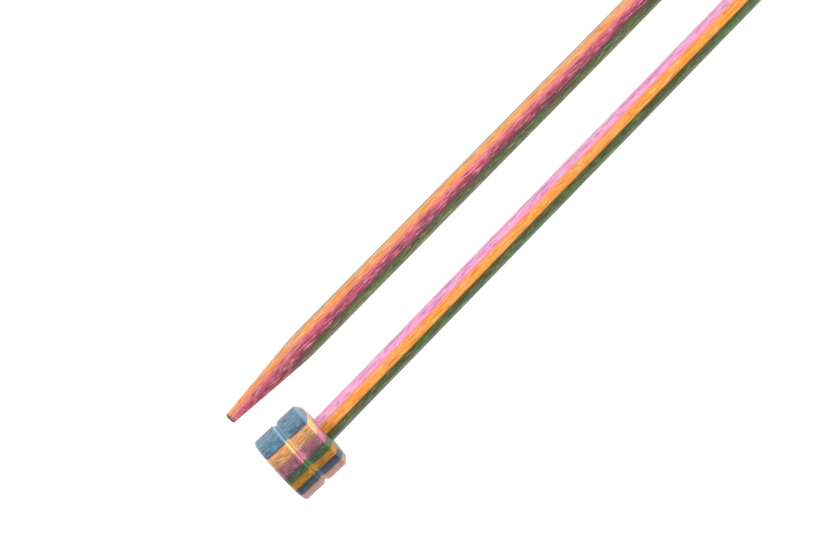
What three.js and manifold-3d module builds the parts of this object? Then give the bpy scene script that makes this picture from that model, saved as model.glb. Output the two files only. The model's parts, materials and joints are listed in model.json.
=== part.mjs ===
// A pair of straight, single-point knitting needles, turned from dyed and laminated birch.
// They lie side by side on a table, head to tail. Needle A has its tip at -X, needle B at +X.
//
// Millimetres, +Z up, the table is z = 0. +X runs along needle A, and +Y from needle B towards
// needle A. The origin is the middle of the pair's footprint.
//
// Each needle is drawn in a frame of its own: x runs along its axis, from the flat tip end at
// x = 0 to the cap's outer end at x = NEEDLE_LENGTH.

import * as THREE from 'three';
import * as BufferGeometryUtils from 'three/addons/utils/BufferGeometryUtils.js';
import Module from 'manifold-3d';

const wasm = await Module();
wasm.setup();

// ---- Driving dimensions ----

const NEEDLE_LENGTH = 250;

const SHAFT_RADIUS = 2.25;
const TIP_RADIUS = 0.92; // of the flat end, before its corner is rounded
const TIP_CORNER = 0.35; // radius of that rounded corner
const TAPER_LENGTH = 16;
const SHOULDER_BLEND = 1.6; // half the length over which the taper softens into the shaft

const CAP_RADIUS = 6.12;
const CAP_LENGTH = 9.45;
const CAP_CHAMFER_ALONG = 0.85; // along the axis, on the side where the shaft goes in
const CAP_CHAMFER_ACROSS = 1.0; // and across it
const CAP_CORNER_ALONG = 0.6; // the outer end's rounded corner, along the axis
const CAP_CORNER_ACROSS = 0.85; // and across it
const GROOVE_START = 4.35; // from the cap's shaft side
const GROOVE_WIDTH = 1.05;
const GROOVE_DEPTH = 0.5;
const GROOVE_BOTTOM = 0.6; // the deepest point, as a share of the groove's width

const BORE_DEPTH = 7.0;
const GLUE_GAP = 0.12; // all round the shaft's end in the cap's bore
const GLUE_LINE = 0.04; // between two veneers

const SPACING_AT_CAP_B = 11.74; // between the two axes, at needle A's tip end
const CONVERGENCE = 0.34; // degrees, so the needles draw together towards +X
const STAGGER = 0.1; // how far cap B's end stands past needle A's tip end
const CAP_B_LEAN = 2.9; // degrees that cap B sits crooked on its shaft, seen from above
const CAP_PIVOT = 3.0; // where the two axes cross, from the cap's shaft side

const ROUND_SIDES = 48;
const CORNER_STEPS = 3;

// ---- Veneers ----
// A turned piece is cut from a stack of veneers. glueLines are the distances from its axis to
// the planes between them, along the stack, and stackTurn is the direction that the stack
// faces: degrees about the needle's axis, from its own +y towards +z.

const DYES = {
  grey_green: 0x868a72,
  orange: 0xee9f66,
  pink: 0xe07a8e,
  olive: 0x6a684c,
  light_pink: 0xf3a9cd,
  bright_orange: 0xf6a458,
  dark_green: 0x627046,
  blue: 0x6f98aa,
  tan: 0xcf9d70,
  maroon: 0x93606a,
  green: 0x505f46,
  ochre: 0xa4762f,
  navy: 0x44505f,
  salmon: 0xb89182,
  plum: 0x7a5a72,
};

const SHAFT_A = {
  name: 'needle_a_shaft',
  dyes: ['grey_green', 'orange', 'pink', 'olive'],
  glueLines: [-1.38, 0.2, 1.72],
  stackTurn: 152.3,
};
const SHAFT_B = {
  name: 'needle_b_shaft',
  dyes: ['light_pink', 'bright_orange', 'dark_green'],
  glueLines: [-1.05, 0.6],
  stackTurn: -5,
};
const CAP_DYES = ['blue', 'tan', 'maroon', 'green', 'ochre', 'navy', 'salmon', 'plum'];
const CAP_GLUE_LINES = [-5.08, -3.5, -1.85, -0.6, 0.93, 2.45, 4.2];
const CAP_A = {
  name: 'needle_a_cap',
  dyes: CAP_DYES,
  glueLines: CAP_GLUE_LINES,
  stackTurn: 115,
};
const CAP_B = {
  name: 'needle_b_cap',
  dyes: CAP_DYES,
  glueLines: CAP_GLUE_LINES,
  stackTurn: -30,
};

// ---- Profiles: points [distance along the axis, radius], from axis to axis ----

function roundedCorner(centreX, centreR, along, across, fromDegrees, toDegrees) {
  const points = [];
  for (let i = 0; i <= CORNER_STEPS; i += 1) {
    const share = i / CORNER_STEPS;
    const angle = THREE.MathUtils.degToRad(THREE.MathUtils.lerp(fromDegrees, toDegrees, share));
    points.push([centreX + along * Math.cos(angle), centreR + across * Math.sin(angle)]);
  }
  return points;
}

function shaftProfile() {
  const coneSlope = (SHAFT_RADIUS - TIP_RADIUS) / TAPER_LENGTH;
  const blendStart = TAPER_LENGTH - SHOULDER_BLEND;
  const shoulder = new THREE.QuadraticBezierCurve(
    new THREE.Vector2(blendStart, TIP_RADIUS + coneSlope * blendStart),
    new THREE.Vector2(TAPER_LENGTH, SHAFT_RADIUS),
    new THREE.Vector2(TAPER_LENGTH + SHOULDER_BLEND, SHAFT_RADIUS),
  );
  const end = NEEDLE_LENGTH - CAP_LENGTH + BORE_DEPTH - GLUE_GAP;
  return [
    [0, 0],
    ...roundedCorner(TIP_CORNER, TIP_RADIUS - TIP_CORNER, TIP_CORNER, TIP_CORNER, 180, 90),
    ...shoulder.getPoints(CORNER_STEPS).map((point) => [point.x, point.y]),
    [end, SHAFT_RADIUS],
    [end, 0],
  ];
}

// The cap's profile runs from its shaft side, at 0, to its outer end.
function capProfile() {
  const groove = [
    [GROOVE_START, CAP_RADIUS],
    [GROOVE_START + GROOVE_WIDTH * GROOVE_BOTTOM, CAP_RADIUS - GROOVE_DEPTH],
    [GROOVE_START + GROOVE_WIDTH, CAP_RADIUS],
  ];
  const outerCorner = roundedCorner(
    CAP_LENGTH - CAP_CORNER_ALONG,
    CAP_RADIUS - CAP_CORNER_ACROSS,
    CAP_CORNER_ALONG,
    CAP_CORNER_ACROSS,
    90,
    0,
  );
  return [
    [0, 0],
    [0, CAP_RADIUS - CAP_CHAMFER_ACROSS],
    [CAP_CHAMFER_ALONG, CAP_RADIUS],
    ...groove,
    ...outerCorner,
    [CAP_LENGTH, 0],
  ];
}

// ---- Solids ----

function toSolid(geometry) {
  const bare = geometry.clone();
  bare.deleteAttribute('normal');
  bare.deleteAttribute('uv');
  const merged = BufferGeometryUtils.mergeVertices(bare, 1e-5);
  return new wasm.Manifold(
    new wasm.Mesh({
      numProp: 3,
      vertProperties: new Float32Array(merged.attributes.position.array),
      triVerts: new Uint32Array(merged.index.array),
    }),
  );
}

function toGeometry(solid) {
  const mesh = solid.getMesh();
  const geometry = new THREE.BufferGeometry();
  geometry.setAttribute('position', new THREE.BufferAttribute(mesh.vertProperties, 3));
  geometry.setIndex(new THREE.BufferAttribute(mesh.triVerts, 1));
  geometry.computeVertexNormals();
  return geometry;
}

// A solid turned about +X from a profile.
function turned(profile) {
  const points = profile.map(([along, radius]) => new THREE.Vector2(radius, along));
  const geometry = new THREE.LatheGeometry(points, ROUND_SIDES);
  geometry.rotateZ(-Math.PI / 2);
  return toSolid(geometry);
}

// The bore is drilled in line with the shaft, so it is crooked in a cap that leans.
function boreCutter(leanDegrees) {
  const overrun = 1;
  const radius = (SHAFT_RADIUS + GLUE_GAP) / Math.cos(Math.PI / ROUND_SIDES);
  const geometry = new THREE.CylinderGeometry(radius, radius, BORE_DEPTH + overrun, ROUND_SIDES);
  geometry.rotateZ(-Math.PI / 2);
  geometry.translate((BORE_DEPTH - overrun) / 2 - CAP_PIVOT, 0, 0);
  geometry.rotateZ(THREE.MathUtils.degToRad(-leanDegrees));
  geometry.translate(CAP_PIVOT, 0, 0);
  return toSolid(geometry);
}

// One veneer of the stack: everything between two planes.
function veneerSlab(low, high, stackTurn) {
  const reach = 4 * NEEDLE_LENGTH;
  const across = 4 * CAP_RADIUS;
  const geometry = new THREE.BoxGeometry(reach, high - low, across);
  geometry.translate(0, (low + high) / 2, 0);
  geometry.rotateX(THREE.MathUtils.degToRad(stackTurn));
  return toSolid(geometry);
}

// Cuts a turned solid into its veneers, each a mesh of its own.
function veneerMeshes(solid, stack) {
  const outside = 2 * CAP_RADIUS;
  const planes = [-outside, ...stack.glueLines, outside];
  return stack.dyes.map((dye, i) => {
    const low = planes[i] + GLUE_LINE / 2;
    const high = planes[i + 1] - GLUE_LINE / 2;
    const veneer = solid.intersect(veneerSlab(low, high, stack.stackTurn));
    const mesh = new THREE.Mesh(
      toGeometry(veneer),
      new THREE.MeshStandardMaterial({ color: DYES[dye], roughness: 0.4, metalness: 0 }),
    );
    mesh.name = `${stack.name}_${dye}_ply`;
    return mesh;
  });
}

// ---- Assembly ----

function makeCap(stack, leanDegrees) {
  const solid = turned(capProfile()).subtract(boreCutter(leanDegrees));
  const plies = new THREE.Group();
  plies.position.x = -CAP_PIVOT;
  plies.add(...veneerMeshes(solid, stack));
  const cap = new THREE.Group();
  cap.position.x = NEEDLE_LENGTH - CAP_LENGTH + CAP_PIVOT;
  cap.rotation.z = THREE.MathUtils.degToRad(leanDegrees);
  cap.add(plies);
  return cap;
}

// A needle on the table rests on its cap's inner rim and on the shoulder of its taper, so its
// axis climbs a little towards the cap.
function restPitch() {
  const rimX = NEEDLE_LENGTH - CAP_LENGTH + CAP_CHAMFER_ALONG;
  const shoulderX = TAPER_LENGTH + SHOULDER_BLEND;
  return Math.atan((CAP_RADIUS - SHAFT_RADIUS) / (rimX - shoulderX));
}

function makeNeedle(shaftStack, capStack, leanDegrees) {
  const needle = new THREE.Group();
  needle.add(...veneerMeshes(turned(shaftProfile()), shaftStack));
  needle.add(makeCap(capStack, leanDegrees));
  return needle;
}

const needleA = makeNeedle(SHAFT_A, CAP_A, 0);
needleA.rotation.set(0, -restPitch(), 0, 'ZYX');

const turnB = THREE.MathUtils.degToRad(CONVERGENCE);
const needleB = makeNeedle(SHAFT_B, CAP_B, -CAP_B_LEAN);
needleB.rotation.set(0, -restPitch(), Math.PI + turnB, 'ZYX');
needleB.position.set(
  NEEDLE_LENGTH * Math.cos(turnB) - STAGGER,
  NEEDLE_LENGTH * Math.sin(turnB) - SPACING_AT_CAP_B,
  0,
);

const needles = new THREE.Group();
needles.add(needleA, needleB);

// The pair's footprint is centred on the origin, and its lowest rim stands on z = 0.
needles.updateMatrixWorld(true);
const extent = new THREE.Box3().setFromObject(needles, true);
needles.position.set(
  -(extent.min.x + extent.max.x) / 2,
  -(extent.min.y + extent.max.y) / 2,
  -extent.min.z,
);

export default needles;
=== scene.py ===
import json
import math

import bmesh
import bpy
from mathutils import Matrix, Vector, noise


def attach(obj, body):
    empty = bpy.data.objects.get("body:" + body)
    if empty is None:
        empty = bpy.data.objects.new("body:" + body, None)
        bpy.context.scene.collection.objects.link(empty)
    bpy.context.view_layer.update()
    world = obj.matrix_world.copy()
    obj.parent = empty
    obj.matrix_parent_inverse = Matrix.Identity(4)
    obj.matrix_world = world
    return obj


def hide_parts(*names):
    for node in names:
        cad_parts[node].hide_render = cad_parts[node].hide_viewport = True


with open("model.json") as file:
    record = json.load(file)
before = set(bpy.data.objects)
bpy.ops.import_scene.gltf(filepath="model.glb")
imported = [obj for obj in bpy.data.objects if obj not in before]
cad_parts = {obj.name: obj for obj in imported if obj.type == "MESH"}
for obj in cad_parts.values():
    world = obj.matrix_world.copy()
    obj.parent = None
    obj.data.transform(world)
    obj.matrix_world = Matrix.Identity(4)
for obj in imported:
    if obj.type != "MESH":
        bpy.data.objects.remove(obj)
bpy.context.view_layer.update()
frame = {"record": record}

# A pair of straight knitting needles in dyed, laminated birch, on a white table.
#
# Each veneer of the laminate is a mesh of its own. Meshes are drawn in millimetres in the frame
# of the turned piece they belong to, with x along its axis, and then scaled to metres.
# A stack of veneers is described by two more directions in the cross-section: "up" the stack,
# through the veneers, and "across" it, along them.

MM = 0.001

# ---- Driving dimensions, in mm ----
# The CAD model's needles are the same, with wider gaps for the glue between veneers and round the
# shafts.

NEEDLE_LENGTH = 250.0

SHAFT_RADIUS = 2.25
TIP_RADIUS = 0.92  # of the flat end, before its corner is rounded
TIP_CORNER = 0.35  # radius of that rounded corner
TAPER_LENGTH = 16.0
SHOULDER_ROUND = 38.0  # radius of the curve from the taper into the shaft
SHAFT_END_ROUND = 0.1

CAP_RADIUS = 6.12
CAP_LENGTH = 9.45
CAP_CHAMFER_ALONG = 0.85  # on the side where the shaft goes in
CAP_CHAMFER_ACROSS = 1.0
CHAMFER_INNER_ROUND = 0.3
CHAMFER_OUTER_ROUND = 0.4
CAP_CORNER_ALONG = 0.6  # the outer end's rounded corner
CAP_CORNER_ACROSS = 0.85
GROOVE_START = 4.35  # from the cap's shaft side
GROOVE_WIDTH = 1.05
GROOVE_END = GROOVE_START + GROOVE_WIDTH
GROOVE_DEPTH = 0.5
GROOVE_BOTTOM = 0.6  # the deepest point, as a share of the groove's width
GROOVE_START_ROUND = 0.25
GROOVE_BOTTOM_ROUND = 0.2
GROOVE_END_ROUND = 0.14

BORE_DEPTH = 7.0
BORE_OVERRUN = 1.0  # how far the cutter for the bore stands out of the cap
SHAFT_END_GAP = 0.12  # between the shaft's end and the bottom of its bore
BORE_FIT = 0.03  # the glue film round the shaft in its bore
SHAFT_LENGTH = NEEDLE_LENGTH - CAP_LENGTH + BORE_DEPTH - SHAFT_END_GAP
CAP_B_LEAN = 2.9  # degrees that cap B sits crooked on its shaft
CAP_PIVOT = 3.0  # where the two axes cross, from the cap's shaft side

GLUE_FILM = 0.006  # between two veneers

OUTER_VENEER = 2.0  # a veneer's thickness where the turned surface is its other face
MISSING_SEAM = 0.4  # the least distance given to a glue surface that a veneer doesn't have
VENEER_SHIFT = 13.7  # across the stack, so that no two veneers share their figure
BARED_AND_LIT_REACH = 0.1  # how far past its stretch the bared wood and the painted light fade out
WEAR_REACH = 0.25  # how far from a worn place the wear fades out

# ---- Mesh resolution ----

SHAFT_STEP = 0.5
CAP_STEP = 0.25
ARC_STEPS = 14  # along each outside arc of a veneer's cross-section
CHORD_STEPS = 6  # along each glued face of it
CORNER_DEGREES = 12.0  # of a rounded corner, for each step
FEWEST_CORNER_STEPS = 3
WEDGE_STEPS = 6  # extra stations where a veneer runs out on a taper
BORE_SIDES = 96
SHARP_DEGREES = 35.0  # an edge that turns more than this looks sharp
MERGE_DISTANCE = 1e-7  # in metres
HALVINGS = 30  # to find where a veneer runs out
RIM_PASSES = 3  # to find where a wandering glue surface meets the outside

# ---- Veneers ----
# glue_lines are the distances up the stack from the axis to the surfaces between veneers, and near
# the tip each of them shifts by its tip_shift. turn is the direction up the stack, in degrees
# about the axis, and seed sets one stack's figure apart from another's. grain_length stretches
# the wood's markings along the grain. worn_at lists the places along the axis that handling has
# worn. The bare-and-lit list gives the stretches painted paler, with start, end and how pale: partly
# where turning cut through to paler wood, and partly painted light where the chamfer and the
# groove's walls catch the light.
# stain is how far the dark stain of the end grain spreads, and how strong it is.

SHAFT = {
    "grain_length": 1.0,
    "length": SHAFT_LENGTH,
    "worn_at": [0.6],
    "bare": [],
    "stain": (0.5, 0.9),
}
SHAFT_A = {
    **SHAFT,
    "node": "needle_a_shaft",
    "dyes": ["grey_green", "orange", "pink", "olive"],
    "glue_lines": [-1.38, 0.2, 1.72],
    "tip_shift": [0.0, 0.05, 0.5],
    "turn": 152.3,
    "seed": 3.0,
}
SHAFT_B = {
    **SHAFT,
    "node": "needle_b_shaft",
    "dyes": ["light_pink", "bright_orange", "dark_green"],
    "glue_lines": [-1.05, 0.6],
    "tip_shift": [0.0, 0.0],
    "turn": -5.0,
    "seed": 17.0,
}

CAP_GLUE_LINES = [-5.08, -3.5, -1.85, -0.6, 0.93, 2.45, 4.2]
GROOVE_LIP = 0.15  # the start of the groove, which keeps its dye
CAP = {
    "dyes": ["blue", "tan", "maroon", "green", "ochre", "navy", "salmon", "plum"],
    "glue_lines": CAP_GLUE_LINES,
    "tip_shift": [0.0] * len(CAP_GLUE_LINES),
    "grain_length": 0.5,
    "length": CAP_LENGTH,
    "worn_at": [CAP_CHAMFER_ALONG, GROOVE_START, GROOVE_END, CAP_LENGTH - CAP_CORNER_ALONG / 2],
    # painted light: the chamfer and the groove's walls are painted paler where they catch the light,
    # besides the paler wood that turning bares there
    "bare": [(0.0, CAP_CHAMFER_ALONG, 0.3), (GROOVE_START + GROOVE_LIP, GROOVE_END, 1.0)],
    "stain": (0.12, 0.4),
}
CAP_A = {**CAP, "node": "needle_a_cap", "turn": 115.0, "seed": 31.0}
CAP_B = {**CAP, "node": "needle_b_cap", "turn": -30.0, "seed": 47.0}

TIP_SHIFT_REACH = 30.0  # how far along the axis a tip_shift takes to die away

# A glue line wanders as the veneers do: (height, length along the grain, width across it).
WANDERS = [(0.05, 40.0, 8.0), (0.03, 9.0, 4.0), (0.022, 1.6, 1.5)]
LINE_OFFSET = 7.3  # in the noise, so that two glue lines don't wander alike
WANDER_OFFSET = 1.9  # and so that the wanders of one line don't


def smooth_share(value):
    """0 below 0, 1 above 1, and an S curve between."""
    value = min(max(value, 0.0), 1.0)
    return value * value * (3 - 2 * value)


def glue_line(stack, index, x, across):
    """How far up the stack a glue surface lies, at a place along the axis and across it."""
    height = stack["glue_lines"][index]
    height += stack["tip_shift"][index] * (1 - smooth_share(x / TIP_SHIFT_REACH))
    for k, (amount, length, width) in enumerate(WANDERS):
        layer = stack["seed"] + LINE_OFFSET * index + WANDER_OFFSET * k
        where = Vector((x / length, across / width, layer))
        height += amount * noise.noise(where)
    return height


# ---- Profiles: lists of (distance along the axis, radius) ----


def rounded_profile(corners):
    """The points of a profile from its corners (x, radius, rounding), with arcs as roundings."""
    points = []
    last = len(corners) - 1
    for k, (x, r, rounding) in enumerate(corners):
        here = Vector((x, r))
        if k in (0, last) or rounding == 0:
            points.append(here)
            continue
        back = (Vector(corners[k - 1][:2]) - here).normalized()
        ahead = (Vector(corners[k + 1][:2]) - here).normalized()
        opening = back.angle(ahead)
        centre = here + (back + ahead).normalized() * rounding / math.sin(opening / 2)
        reach = rounding / math.tan(opening / 2)
        first = here + back * reach - centre
        turn = first.angle_signed(here + ahead * reach - centre)
        steps = max(FEWEST_CORNER_STEPS, math.ceil(math.degrees(abs(turn)) / CORNER_DEGREES))
        for i in range(steps + 1):
            points.append(centre + Matrix.Rotation(-turn * i / steps, 2) @ first)
    return points


def stations(points, step):
    """Splits the long stretches of a profile. Its points on the axis are left out."""
    made = []
    for a, b in zip(points, points[1:]):
        if a.y > 0:
            parts = max(1, math.ceil((b.x - a.x) / step)) if b.y > 0 else 1
            made += [a.lerp(b, i / parts) for i in range(parts)]
    return made


def shaft_stations():
    """A shaft's profile, from its tip end to its end in the cap's bore."""
    corners = [
        (0, 0, 0),
        (0, TIP_RADIUS, TIP_CORNER),
        (TAPER_LENGTH, SHAFT_RADIUS, SHOULDER_ROUND),
        (SHAFT_LENGTH, SHAFT_RADIUS, SHAFT_END_ROUND),
        (SHAFT_LENGTH, 0, 0),
    ]
    return stations(rounded_profile(corners), SHAFT_STEP)


def cap_stations():
    """A cap's profile, from its shaft side to its outer end."""
    groove_bottom = GROOVE_START + GROOVE_WIDTH * GROOVE_BOTTOM
    corners = [
        (0, 0, 0),
        (0, CAP_RADIUS - CAP_CHAMFER_ACROSS, CHAMFER_INNER_ROUND),
        (CAP_CHAMFER_ALONG, CAP_RADIUS, CHAMFER_OUTER_ROUND),
        (GROOVE_START, CAP_RADIUS, GROOVE_START_ROUND),
        (groove_bottom, CAP_RADIUS - GROOVE_DEPTH, GROOVE_BOTTOM_ROUND),
        (GROOVE_END, CAP_RADIUS, GROOVE_END_ROUND),
        (CAP_LENGTH - CAP_CORNER_ALONG, CAP_RADIUS, 0),
    ]
    points = rounded_profile(corners)
    centre = Vector((CAP_LENGTH - CAP_CORNER_ALONG, CAP_RADIUS - CAP_CORNER_ACROSS))
    steps = math.ceil(90 / CORNER_DEGREES)
    for i in range(1, steps + 1):
        angle = math.pi / 2 * (1 - i / steps)
        along = CAP_CORNER_ALONG * math.cos(angle)
        across = CAP_CORNER_ACROSS * math.sin(angle)
        points.append(centre + Vector((along, across)))
    points.append(Vector((CAP_LENGTH, 0)))
    return stations(points, CAP_STEP)


# ---- Veneer meshes ----


def rim_angle(stack, index, x, r, side):
    """The angle from up the stack at which a glue surface meets the outside, on one side."""
    height = glue_line(stack, index, x, 0.0)
    for _ in range(RIM_PASSES):
        across = side * math.sqrt(max(r * r - height * height, 0.0))
        height = glue_line(stack, index, x, across)
    return math.acos(min(max(height / r, -1.0), 1.0))


def runs_out(stack, ply, x, r):
    """Whether a veneer has no material left at this station."""
    lines = stack["glue_lines"]
    if ply > 0 and glue_line(stack, ply - 1, x, 0.0) >= r:
        return True
    return ply < len(lines) and glue_line(stack, ply, x, 0.0) <= -r


def cross_section(stack, ply, x, r):
    """A veneer's outline at a station: (up, across) pairs, anticlockwise seen from the +x end."""
    top = ply < len(stack["glue_lines"]) and glue_line(stack, ply, x, 0.0) < r
    bottom = ply > 0 and glue_line(stack, ply - 1, x, 0.0) > -r
    film = GLUE_FILM / 2
    outline = []

    def arc(side, start, end):
        for i in range(ARC_STEPS):
            angle = start + (end - start) * i / ARC_STEPS
            outline.append((r * math.cos(angle), side * r * math.sin(angle)))

    def chord(index, start, end, shift):
        for i in range(CHORD_STEPS):
            across = start + (end - start) * i / CHORD_STEPS
            height = glue_line(stack, index, x, across) + shift
            outline.append((height, across))

    def angles(side):
        high = rim_angle(stack, ply, x, r, side) if top else 0.0
        low = rim_angle(stack, ply - 1, x, r, side) if bottom else math.pi
        gap = film / r
        return high + (gap if top else 0.0), low - (gap if bottom else 0.0)

    right_high, right_low = angles(1)
    left_high, left_low = angles(-1)
    arc(1, right_high, right_low)
    if bottom:
        chord(ply - 1, r * math.sin(right_low), -r * math.sin(left_low), film)
    else:
        outline += [(-r, 0.0)] * CHORD_STEPS
    arc(-1, left_low, left_high)
    if top:
        chord(ply, -r * math.sin(left_high), r * math.sin(right_high), -film)
    else:
        outline += [(r, 0.0)] * CHORD_STEPS
    return outline


def wedge_stations(stack, ply, inside, outside):
    """Stations from a veneer's thin edge, where it runs out, to the first whole one."""
    there, gone = inside, outside
    for _ in range(HALVINGS):
        middle = there.lerp(gone, 0.5)
        if runs_out(stack, ply, middle.x, middle.y):
            gone = middle
        else:
            there = middle
    return [there.lerp(inside, (k / WEDGE_STEPS) ** 2) for k in range(WEDGE_STEPS)]


def ply_stations(stack, ply, turned):
    """The stations that a veneer spans, and whether it ends in a thin edge at each end."""
    kept = [not runs_out(stack, ply, p.x, p.y) for p in turned]
    first = kept.index(True)
    last = len(kept) - 1 - kept[::-1].index(True)
    span = turned[first:last + 1]
    if first > 0:
        span = wedge_stations(stack, ply, turned[first], turned[first - 1]) + span
    if last < len(turned) - 1:
        span += wedge_stations(stack, ply, turned[last], turned[last + 1])[::-1]
    return span, first > 0, last < len(turned) - 1


def ply_mesh(stack, ply, turned, name):
    """One veneer of a turned piece as a closed mesh, in metres."""
    span, thin_start, thin_end = ply_stations(stack, ply, turned)
    turn = math.radians(stack["turn"])
    up_y, up_z = math.cos(turn), math.sin(turn)
    mesh = bmesh.new()
    rings = []
    for k, station in enumerate(span):
        outline = cross_section(stack, ply, station.x, station.y)
        if (k == 0 and thin_start) or (k == len(span) - 1 and thin_end):
            upper = ply > 0 and glue_line(stack, ply - 1, station.x, 0.0) > 0
            edge = station.y if upper else -station.y
            outline = [(edge, 0.0)] * len(outline)
        ring = []
        for up, across in outline:
            y = up * up_y - across * up_z
            z = up * up_z + across * up_y
            ring.append(mesh.verts.new((station.x * MM, y * MM, z * MM)))
        rings.append(ring)
    for a, b in zip(rings, rings[1:]):
        for j in range(len(a)):
            n = (j + 1) % len(a)
            mesh.faces.new((a[j], a[n], b[n], b[j]))
    if not thin_start:
        mesh.faces.new(rings[0][::-1])
    if not thin_end:
        mesh.faces.new(rings[-1])
    bmesh.ops.remove_doubles(mesh, verts=mesh.verts, dist=MERGE_DISTANCE)
    data = bpy.data.meshes.new(name)
    mesh.to_mesh(data)
    mesh.free()
    return data


def bore_cutter(lean):
    """The hole in a cap that its shaft is glued into, in line with the shaft."""
    mesh = bmesh.new()
    radius = (SHAFT_RADIUS + BORE_FIT) * MM
    bmesh.ops.create_cone(
        mesh,
        cap_ends=True,
        segments=BORE_SIDES,
        radius1=radius,
        radius2=radius,
        depth=(BORE_DEPTH + BORE_OVERRUN) * MM,
    )
    along = Matrix.Rotation(math.radians(90), 4, "Y")
    middle = (BORE_DEPTH - BORE_OVERRUN) / 2
    from_pivot = Matrix.Translation(((middle - CAP_PIVOT) * MM, 0, 0))
    crooked = Matrix.Rotation(math.radians(-lean), 4, "Z")
    pivot = Matrix.Translation((CAP_PIVOT * MM, 0, 0))
    mesh.transform(pivot @ crooked @ from_pivot @ along)
    data = bpy.data.meshes.new("bore_cutter")
    mesh.to_mesh(data)
    mesh.free()
    return data


def cut(piece, cutter_mesh):
    """Cuts a hole in a piece, for good."""
    cutter = bpy.data.objects.new("cutter", cutter_mesh)
    bpy.context.scene.collection.objects.link(cutter)
    modifier = piece.modifiers.new("bore", "BOOLEAN")
    modifier.operation = "DIFFERENCE"
    modifier.solver = "EXACT"
    modifier.object = cutter
    bpy.context.view_layer.update()
    evaluated = piece.evaluated_get(bpy.context.evaluated_depsgraph_get())
    data = bpy.data.meshes.new_from_object(evaluated)
    piece.modifiers.clear()
    piece.data = data
    bpy.data.objects.remove(cutter)


def annotate(data, stack, ply):
    """Stores what the wood's material reads at each vertex, as three vectors.

    grain: the place in the wood, along the grain, across the stack and up it.
    seam: the distances to the glue surfaces below and above.
    finish_and_painted_light: how pale from bared wood and painted light, how worn, and how stained by
    the end grain, each from 0 to 1.
    """
    turn = math.radians(stack["turn"])
    lines = stack["glue_lines"]
    grain = []
    seam = []
    finish_and_painted_light = []
    for vertex in data.vertices:
        x, y, z = vertex.co / MM
        up = y * math.cos(turn) + z * math.sin(turn)
        across = z * math.cos(turn) - y * math.sin(turn)
        below = up - glue_line(stack, ply - 1, x, across) if ply > 0 else None
        above = glue_line(stack, ply, x, across) - up if ply < len(lines) else None
        if below is None:
            below = max(OUTER_VENEER - above, MISSING_SEAM)
        if above is None:
            above = max(OUTER_VENEER - below, MISSING_SEAM)
        grain += [x / stack["grain_length"], across + VENEER_SHIFT * ply, up + stack["seed"]]
        seam += [below, above, 0.0]
        finish_and_painted_light += [bareness(stack, x), wear(stack, x), end_stain(stack, x)]
    for name, values in (("grain", grain), ("seam", seam), ("finish_and_painted_light", finish_and_painted_light)):
        data.attributes.new(name, "FLOAT_VECTOR", "POINT").data.foreach_set("vector", values)


def bareness(stack, x):
    """How much paler the wood is painted, partly as bared wood and partly as painted light, dying away
    a little way outside each stretch.
    """
    most = 0.0
    for start, end, amount in stack["bare"]:
        outside = max(start - x, x - end, 0.0)
        most = max(most, amount * (1 - smooth_share(outside / BARED_AND_LIT_REACH)))
    return most


def wear(stack, x):
    """1 at a worn place, and 0 a little way from it."""
    distance = min(abs(x - place) for place in stack["worn_at"])
    return 1 - smooth_share(distance / WEAR_REACH)


def end_stain(stack, x):
    """The end grain's stain, in full up to half its reach and gone beyond the whole of it."""
    reach, strength = stack["stain"]
    distance = min(x, stack["length"] - x)
    return strength * (1 - smooth_share(2 * distance / reach - 1))


# ---- Materials ----
# Each dye's tones, as linear RGB. body: at the glue surface below, halfway up the veneer and at
# the glue surface above; the drift between them is partly the dye's own and partly painted shade,
# darker towards the side of the needle turned from the light. blotch: where the dye took unevenly.
# dark and pale: fibres, and pale also where the wood is worn, and on the stretches painted paler,
# partly as bared wood and partly as painted light. seams: right against the glue below and above.

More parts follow.
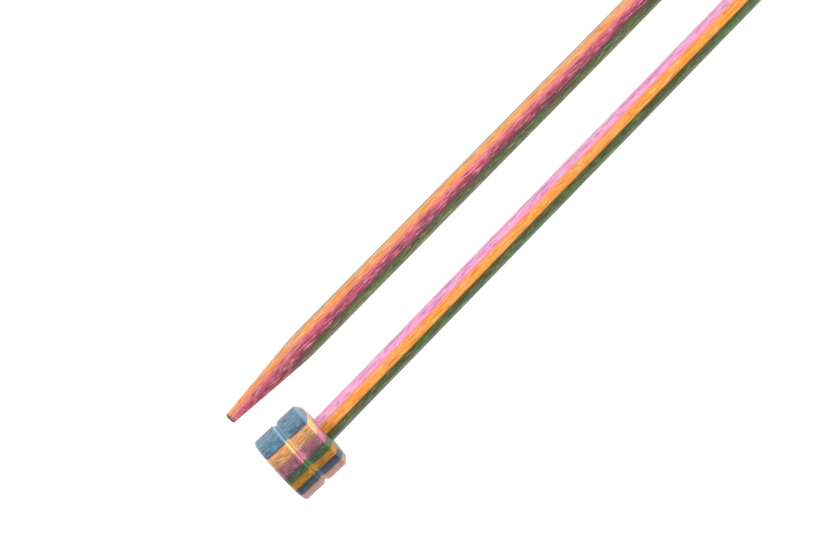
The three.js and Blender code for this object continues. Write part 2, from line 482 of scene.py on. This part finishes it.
DYES = {
    "grey_green": {
        "body": [(0.20, 0.24, 0.13), (0.20, 0.24, 0.13), (0.22, 0.23, 0.11)],
        "blotch": (0.30, 0.26, 0.12),
        "dark": (0.11, 0.13, 0.06),
        "pale": (0.48, 0.46, 0.34),
        "seams": [(0.14, 0.15, 0.08), (0.26, 0.22, 0.10)],
    },
    "orange": {
        # the middle tone is paler and bluer than the dye alone: a painted highlight beside the pink
        "body": [(0.62, 0.27, 0.07), (0.77, 0.34, 0.13), (0.80, 0.29, 0.14)],
        "blotch": (0.90, 0.26, 0.02),
        "dark": (0.52, 0.15, 0.03),
        "pale": (0.93, 0.62, 0.38),
        "seams": [(0.48, 0.28, 0.10), (0.80, 0.24, 0.13)],
    },
    "pink": {
        "body": [(0.83, 0.22, 0.27), (0.40, 0.06, 0.10), (0.14, 0.04, 0.05)],
        "blotch": (0.66, 0.07, 0.15),
        "dark": (0.20, 0.03, 0.05),
        "pale": (0.90, 0.42, 0.52),
        "seams": [(0.82, 0.21, 0.16), (0.13, 0.05, 0.05)],
    },
    "olive": {
        "body": [(0.10, 0.10, 0.04), (0.08, 0.12, 0.04), (0.10, 0.12, 0.05)],
        "blotch": (0.05, 0.20, 0.02),
        "dark": (0.03, 0.04, 0.02),
        "pale": (0.40, 0.42, 0.22),
        "seams": [(0.10, 0.07, 0.05), (0.08, 0.09, 0.05)],
    },
    "light_pink": {
        "body": [(0.86, 0.50, 0.70), (0.83, 0.40, 0.61), (0.84, 0.38, 0.55)],
        "blotch": (0.90, 0.28, 0.55),
        "dark": (0.44, 0.11, 0.36),
        "pale": (0.94, 0.64, 0.82),
        "seams": [(0.88, 0.60, 0.76), (0.90, 0.28, 0.26)],
    },
    "bright_orange": {
        "body": [(0.86, 0.36, 0.16), (0.92, 0.36, 0.06), (0.76, 0.30, 0.05)],
        "blotch": (0.96, 0.27, 0.01),
        "dark": (0.66, 0.17, 0.01),
        "pale": (0.95, 0.56, 0.18),
        "seams": [(0.86, 0.28, 0.12), (0.28, 0.14, 0.04)],
    },
    "dark_green": {
        "body": [(0.08, 0.07, 0.01), (0.05, 0.08, 0.02), (0.06, 0.08, 0.03)],
        "blotch": (0.05, 0.16, 0.02),
        "dark": (0.02, 0.03, 0.01),
        "pale": (0.24, 0.26, 0.13),
        "seams": [(0.05, 0.03, 0.00), (0.05, 0.06, 0.03)],
    },
    "blue": {
        "body": [(0.20, 0.38, 0.48), (0.11, 0.22, 0.31), (0.09, 0.10, 0.13)],
        "blotch": (0.05, 0.21, 0.34),
        "dark": (0.02, 0.05, 0.11),
        "pale": (0.20, 0.38, 0.49),
        "seams": [(0.10, 0.20, 0.30), (0.09, 0.08, 0.09)],
    },
    "tan": {
        "body": [(0.76, 0.34, 0.14), (0.48, 0.23, 0.11), (0.33, 0.16, 0.08)],
        "blotch": (0.84, 0.31, 0.06),
        "dark": (0.26, 0.12, 0.07),
        "pale": (0.92, 0.58, 0.25),
        "seams": [(0.62, 0.30, 0.14), (0.34, 0.16, 0.08)],
    },
    "maroon": {
        "body": [(0.31, 0.11, 0.11), (0.23, 0.08, 0.10), (0.10, 0.05, 0.06)],
        "blotch": (0.34, 0.06, 0.13),
        "dark": (0.09, 0.03, 0.05),
        "pale": (0.78, 0.26, 0.38),
        "seams": [(0.34, 0.13, 0.12), (0.08, 0.05, 0.04)],
    },
    "green": {
        "body": [(0.03, 0.05, 0.02), (0.04, 0.07, 0.03), (0.05, 0.05, 0.01)],
        "blotch": (0.01, 0.12, 0.03),
        "dark": (0.01, 0.02, 0.01),
        "pale": (0.12, 0.20, 0.10),
        "seams": [(0.04, 0.05, 0.03), (0.07, 0.06, 0.01)],
    },
    "ochre": {
        "body": [(0.28, 0.13, 0.01), (0.36, 0.15, 0.00), (0.22, 0.10, 0.01)],
        "blotch": (0.50, 0.17, 0.00),
        "dark": (0.12, 0.06, 0.00),
        "pale": (0.50, 0.26, 0.03),
        "seams": [(0.20, 0.11, 0.01), (0.06, 0.05, 0.01)],
    },
    "navy": {
        "body": [(0.00, 0.01, 0.03), (0.01, 0.02, 0.05), (0.01, 0.02, 0.03)],
        "blotch": (0.00, 0.03, 0.10),
        "dark": (0.00, 0.01, 0.01),
        "pale": (0.04, 0.10, 0.16),
        "seams": [(0.01, 0.01, 0.01), (0.03, 0.02, 0.01)],
    },
    "salmon": {
        "body": [(0.32, 0.14, 0.08), (0.28, 0.12, 0.08), (0.26, 0.12, 0.09)],
        "blotch": (0.38, 0.12, 0.06),
        "dark": (0.18, 0.08, 0.05),
        "pale": (0.44, 0.22, 0.14),
        "seams": [(0.12, 0.08, 0.05), (0.30, 0.13, 0.09)],
    },
    "plum": {
        "body": [(0.20, 0.10, 0.16), (0.20, 0.10, 0.16), (0.18, 0.08, 0.14)],
        "blotch": (0.28, 0.08, 0.20),
        "dark": (0.07, 0.04, 0.06),
        "pale": (0.45, 0.30, 0.40),
        "seams": [(0.16, 0.08, 0.10), (0.12, 0.07, 0.09)],
    },
}
END_GRAIN = (0.06, 0.04, 0.03, 1)
BODY_PLACES = (0.1, 0.5, 0.9)  # of the body tones, as shares of the way up the veneer

# Noise in the wood: its frequencies along the grain and through it, per mm, and its octaves.
WAVE = (0.06, 0.4, 2.0)
STREAK = (0.08, 1.8, 2.0)
BLOTCH = (0.25, 1.0, 2.0)
FIBRE = (0.35, 4.5, 3.0)
THREAD = (0.5, 6.0, 3.0)
FINE = (1.0, 13.0, 2.0)
NOISE_ROUGHNESS = 0.65

# How a noise shows: the value where its mark starts, the value where it is full, and its strength.
BLOTCH_MARK = (0.46, 0.62, 0.7)
FIBRE_MARK = (0.5, 0.62, 0.9)
THREAD_MARK = (0.53, 0.64, 0.65)
FINE_MARK = (0.55, 0.7, 0.25)
WEAR_MARK = (0.4, 0.6, 0.6)
BARED_AND_LIT_STRENGTH = 0.8

GRAIN_SLANT = 0.8  # degrees
WAVE_HEIGHT = 0.4  # mm
STREAK_SHIFT = 0.7  # of the body tones up and down, as a share of the veneer
SEAM_RAGGEDNESS = 0.4  # mm
SEAM_MARK = (0.2, 0.08, 0.9)  # mm from the glue where its tone starts and is full, and strength

SMOOTHEST = 0.3
FIBRE_ROUGHNESS = 0.25
FINE_RELIEF = 0.5  # beside the fibres' relief
RELIEF_STRENGTH = 0.3
RELIEF_DEPTH = 4e-5  # metres


def add_node(tree, kind, inputs, **settings):
    """Adds a node. Each input, by name or number, gets a value or a link from a socket."""
    node = tree.nodes.new(kind)
    for name, value in settings.items():
        setattr(node, name, value)
    for name, value in inputs.items():
        if isinstance(value, bpy.types.NodeSocket):
            tree.links.new(value, node.inputs[name])
        else:
            node.inputs[name].default_value = value
    return node


def read_vector(tree, name):
    """The three parts of a vector that the mesh stores."""
    vector = add_node(tree, "ShaderNodeAttribute", {}, attribute_name=name).outputs["Vector"]
    return add_node(tree, "ShaderNodeSeparateXYZ", {0: vector}).outputs


def calculate(tree, operation, *values):
    """The result of a sum on numbers or sockets."""
    return add_node(tree, "ShaderNodeMath", dict(enumerate(values)), operation=operation).outputs[0]


def rise(tree, value, start, end, top=1.0):
    """0 up to start, top from end on, and smooth between. It falls instead if end < start."""
    inputs = {"Value": value, "From Min": start, "From Max": end, "To Max": top}
    node = add_node(tree, "ShaderNodeMapRange", inputs, interpolation_type="SMOOTHSTEP")
    return node.outputs["Result"]


def tint(tree, share, below, above):
    """A colour between two others."""
    return add_node(tree, "ShaderNodeMix", {0: share, 6: below, 7: above}, data_type="RGBA").outputs[2]


def grain_noise(tree, grain, kind):
    """Noise drawn out along the grain."""
    along, through, octaves = kind
    stretch = {0: grain, 1: (along, through, through)}
    inputs = {
        "Vector": add_node(tree, "ShaderNodeVectorMath", stretch, operation="MULTIPLY").outputs[0],
        "Scale": 1.0,
        "Detail": octaves,
        "Roughness": NOISE_ROUGHNESS,
    }
    return add_node(tree, "ShaderNodeTexNoise", inputs)


def wavy_grain(tree):
    """The place in the grain, which runs slightly aslant and in waves."""
    straight = add_node(tree, "ShaderNodeAttribute", {}, attribute_name="grain").outputs["Vector"]
    slant = math.radians(GRAIN_SLANT)
    aslant = add_node(tree, "ShaderNodeMapping", {"Vector": straight, "Rotation": (0, slant, slant)})
    wave = grain_noise(tree, straight, WAVE).outputs["Color"]
    inputs = {0: wave, 1: (0, WAVE_HEIGHT, WAVE_HEIGHT), 2: aslant.outputs[0]}
    return add_node(tree, "ShaderNodeVectorMath", inputs, operation="MULTIPLY_ADD").outputs[0]


def dye_drift_and_painted_light(tree, below, above, streak, tones):
    """The veneer's colour, drifting from one glue surface to the other in streaks: partly the dye's
    own drift, partly painted shade on the side turned from the light.
    """
    share = calculate(tree, "DIVIDE", below, calculate(tree, "ADD", below, above))
    centred = calculate(tree, "SUBTRACT", share, STREAK_SHIFT / 2)
    shifted = calculate(tree, "MULTIPLY_ADD", streak, STREAK_SHIFT, centred)
    ramp = add_node(tree, "ShaderNodeValToRGB", {"Fac": shifted})
    ramp.color_ramp.elements.new(BODY_PLACES[1])
    for element, place, tone in zip(ramp.color_ramp.elements, BODY_PLACES, tones):
        element.position = place
        element.color = (*tone, 1)
    return ramp.outputs["Color"]


def seam_colour(tree, distance, fibre, colour, tone):
    """Tints a colour close to the glue, with a ragged edge."""
    centred = calculate(tree, "SUBTRACT", distance, SEAM_RAGGEDNESS / 2)
    ragged = calculate(tree, "MULTIPLY_ADD", fibre, SEAM_RAGGEDNESS, centred)
    return tint(tree, rise(tree, ragged, *SEAM_MARK), colour, (*tone, 1))


def satin_varnish(shader):
    """A thin, slightly glossy coat."""
    shader.inputs["Specular IOR Level"].default_value = 0.35
    shader.inputs["Coat Weight"].default_value = 0.1
    shader.inputs["Coat Roughness"].default_value = 0.15
    shader.inputs["Sheen Weight"].default_value = 0.02


def dyed_birch(dye):
    """Dyed birch veneer under satin varnish."""
    tones = DYES[dye]
    blotch_tone, dark, pale = [(*tones[name], 1) for name in ("blotch", "dark", "pale")]
    material = bpy.data.materials.new(f"{dye}_birch")
    material.use_nodes = True
    tree = material.node_tree
    grain = wavy_grain(tree)
    kinds = (STREAK, BLOTCH, FIBRE, THREAD, FINE)
    streak, blotch, fibre, thread, fine = [grain_noise(tree, grain, k).outputs[0] for k in kinds]

    below, above, _ = read_vector(tree, "seam")
    # the veneer's tone: partly dye, partly painted shade that darkens the side turned from the light
    colour = dye_drift_and_painted_light(tree, below, above, streak, tones["body"])
    colour = tint(tree, rise(tree, blotch, *BLOTCH_MARK), colour, blotch_tone)
    colour = tint(tree, rise(tree, fibre, *FIBRE_MARK), colour, dark)
    colour = tint(tree, rise(tree, thread, *THREAD_MARK), colour, pale)
    colour = tint(tree, rise(tree, fine, *FINE_MARK), colour, dark)
    for distance, tone in zip((below, above), tones["seams"]):
        colour = seam_colour(tree, distance, fibre, colour, tone)

    bare, worn, stained = read_vector(tree, "finish_and_painted_light")
    # painted light: the chamfer and the groove's walls are painted paler where they catch the light,
    # together with the paler wood that turning bares there
    bared_and_lit_paleness = calculate(tree, "MULTIPLY", bare, BARED_AND_LIT_STRENGTH)
    patchy_wear = calculate(tree, "MULTIPLY", worn, rise(tree, thread, *WEAR_MARK))
    colour = tint(tree, calculate(tree, "MAXIMUM", bared_and_lit_paleness, patchy_wear), colour, pale)
    colour = tint(tree, stained, colour, END_GRAIN)

    shader = tree.nodes["Principled BSDF"]
    tree.links.new(colour, shader.inputs["Base Color"])
    roughness = calculate(tree, "MULTIPLY_ADD", fibre, FIBRE_ROUGHNESS, SMOOTHEST)
    tree.links.new(roughness, shader.inputs["Roughness"])
    relief = calculate(tree, "MULTIPLY_ADD", fine, FINE_RELIEF, fibre)
    heights = {"Strength": RELIEF_STRENGTH, "Distance": RELIEF_DEPTH, "Height": relief}
    bump = add_node(tree, "ShaderNodeBump", heights)
    tree.links.new(bump.outputs["Normal"], shader.inputs["Normal"])
    satin_varnish(shader)
    return material


BIRCH = {dye: dyed_birch(dye) for dye in DYES}


# ---- Assembly ----


def cap_frame(mount_name):
    """A cap's frame, in metres: x runs from its shaft side to its outer end, y is level."""
    mount = next(m for m in frame["record"]["mounts"] if m["name"] == mount_name)
    along = Vector(mount["axis"]).normalized()
    level = Vector((0, 0, 1)).cross(along).normalized()
    matrix = Matrix((along, level, along.cross(level))).transposed().to_4x4()
    matrix.translation = Vector(mount["pos_m"]) - along * CAP_LENGTH * MM
    return matrix


def needle_frame(cap, lean):
    """A needle's frame, with x from its tip end to its cap end, from the frame of its cap."""
    to_pivot = Matrix.Translation((CAP_PIVOT * MM, 0, 0))
    straighten = Matrix.Rotation(math.radians(-lean), 4, "Z")
    to_tip = Matrix.Translation(((CAP_LENGTH - CAP_PIVOT - NEEDLE_LENGTH) * MM, 0, 0))
    return cap @ to_pivot @ straighten @ to_tip


def crosses_bore(stack, ply):
    """Whether the cap's bore reaches a veneer."""
    lines = [-CAP_RADIUS, *stack["glue_lines"], CAP_RADIUS]
    margin = 0.5  # for the glue lines' wander and the crooked bore
    reach = SHAFT_RADIUS + margin
    return lines[ply] < reach and lines[ply + 1] > -reach


def make_plies(stack, turned, place, body, bore=None):
    """Builds the veneers of one turned piece, in place of its CAD nodes."""
    for ply, dye in enumerate(stack["dyes"]):
        name = f"{stack['node']}_{dye}_veneer"
        piece = bpy.data.objects.new(name, ply_mesh(stack, ply, turned, name))
        bpy.context.scene.collection.objects.link(piece)
        if bore is not None and crosses_bore(stack, ply):
            cut(piece, bore)
        annotate(piece.data, stack, ply)
        piece.data.transform(place)
        piece.data.shade_smooth()
        piece.data.set_sharp_from_angle(angle=math.radians(SHARP_DEGREES))
        piece.data.materials.clear()
        piece.data.materials.append(BIRCH[dye])
        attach(piece, body)
        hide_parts(f"{stack['node']}_{dye}_ply")


def make_needle(body, shaft, cap, mount_name, lean):
    """Builds one needle, placed by its cap's end."""
    cap_place = cap_frame(mount_name)
    make_plies(shaft, shaft_stations(), needle_frame(cap_place, lean), body)
    make_plies(cap, cap_stations(), cap_place, body, bore_cutter(lean))


make_needle("needle_a", SHAFT_A, CAP_A, "needle_a_cap_end", 0.0)
make_needle("needle_b", SHAFT_B, CAP_B, "needle_b_cap_end", -CAP_B_LEAN)


# ---- Table, light and camera ----

FLOOR_SIZE = 6.0
FLOOR_DROP = 0.02 * MM  # below the needles, so that their lowest edges don't cut into it
FLOOR_GLOW = 0.6  # so that the table comes out as a plain white ground
SKY_STRENGTH = 0.67
SENSOR_WIDTH = 36.0
CAMERA_HEIGHT = 0.460  # above the needles
VIEW_WIDTH = 0.1308  # across the picture, at the needles' height
NEEDLE_LEVEL = 0.004
ROW_ANGLE = 45.44  # degrees, of +X above the picture's horizontal
VIEW_FROM_TIP = 36.65 * MM  # the middle of the picture, along needle A from its tip
VIEW_FROM_AXIS = 5.3 * MM  # and sideways from needle A's axis towards needle B


def make_floor():
    """A plain white table."""
    data = bpy.data.meshes.new("table_top")
    half = FLOOR_SIZE / 2
    corners = [(-half, -half, 0), (half, -half, 0), (half, half, 0), (-half, half, 0)]
    data.from_pydata(corners, [], [(0, 1, 2, 3)])
    floor = bpy.data.objects.new("table_top", data)
    floor.location.z = -FLOOR_DROP
    bpy.context.scene.collection.objects.link(floor)
    material = bpy.data.materials.new("white_table")
    material.use_nodes = True
    shader = material.node_tree.nodes["Principled BSDF"]
    shader.inputs["Base Color"].default_value = (0.9, 0.9, 0.9, 1)
    shader.inputs["Roughness"].default_value = 0.7
    shader.inputs["Emission Color"].default_value = (1, 1, 1, 1)
    shader.inputs["Emission Strength"].default_value = FLOOR_GLOW
    data.materials.append(material)


def area_light(name, place, size, power):
    """A round, white soft light that faces the middle of the needles."""
    data = bpy.data.lights.new(name, "AREA")
    data.shape = "DISK"
    data.size = size
    data.energy = power
    lamp = bpy.data.objects.new(name, data)
    bpy.context.scene.collection.objects.link(lamp)
    lamp.location = place
    lamp.rotation_euler = (-Vector(place)).to_track_quat("-Z", "Y").to_euler()


def make_light():
    """An even white sky, a low key light and a weak fill light."""
    world = bpy.data.worlds.new("studio")
    world.use_nodes = True
    sky = world.node_tree.nodes["Background"]
    sky.inputs["Color"].default_value = (1.0, 1.0, 1.0, 1)
    sky.inputs["Strength"].default_value = SKY_STRENGTH
    bpy.context.scene.world = world
    area_light("key", place=(0.93, 0.25, 0.22), size=0.4, power=12.0)
    area_light("fill", place=(-0.65, -0.3, 0.7), size=0.5, power=4.0)


def make_camera(place_a):
    """A camera that looks straight down at needle A's tip and needle B's cap."""
    data = bpy.data.cameras.new("camera")
    data.sensor_width = SENSOR_WIDTH
    data.lens = SENSOR_WIDTH * CAMERA_HEIGHT / VIEW_WIDTH
    data.clip_start = 0.01
    data.clip_end = 10.0
    camera = bpy.data.objects.new("camera", data)
    bpy.context.scene.collection.objects.link(camera)
    aim = place_a @ Vector((VIEW_FROM_TIP, 0, 0))
    camera.location = (aim.x, aim.y - VIEW_FROM_AXIS, NEEDLE_LEVEL + CAMERA_HEIGHT)
    camera.rotation_euler = (0, 0, math.radians(-ROW_ANGLE))
    bpy.context.scene.camera = camera


make_floor()
make_light()
make_camera(needle_frame(cap_frame("needle_a_cap_end"), 0.0))
bpy.context.scene.view_settings.view_transform = "Standard"
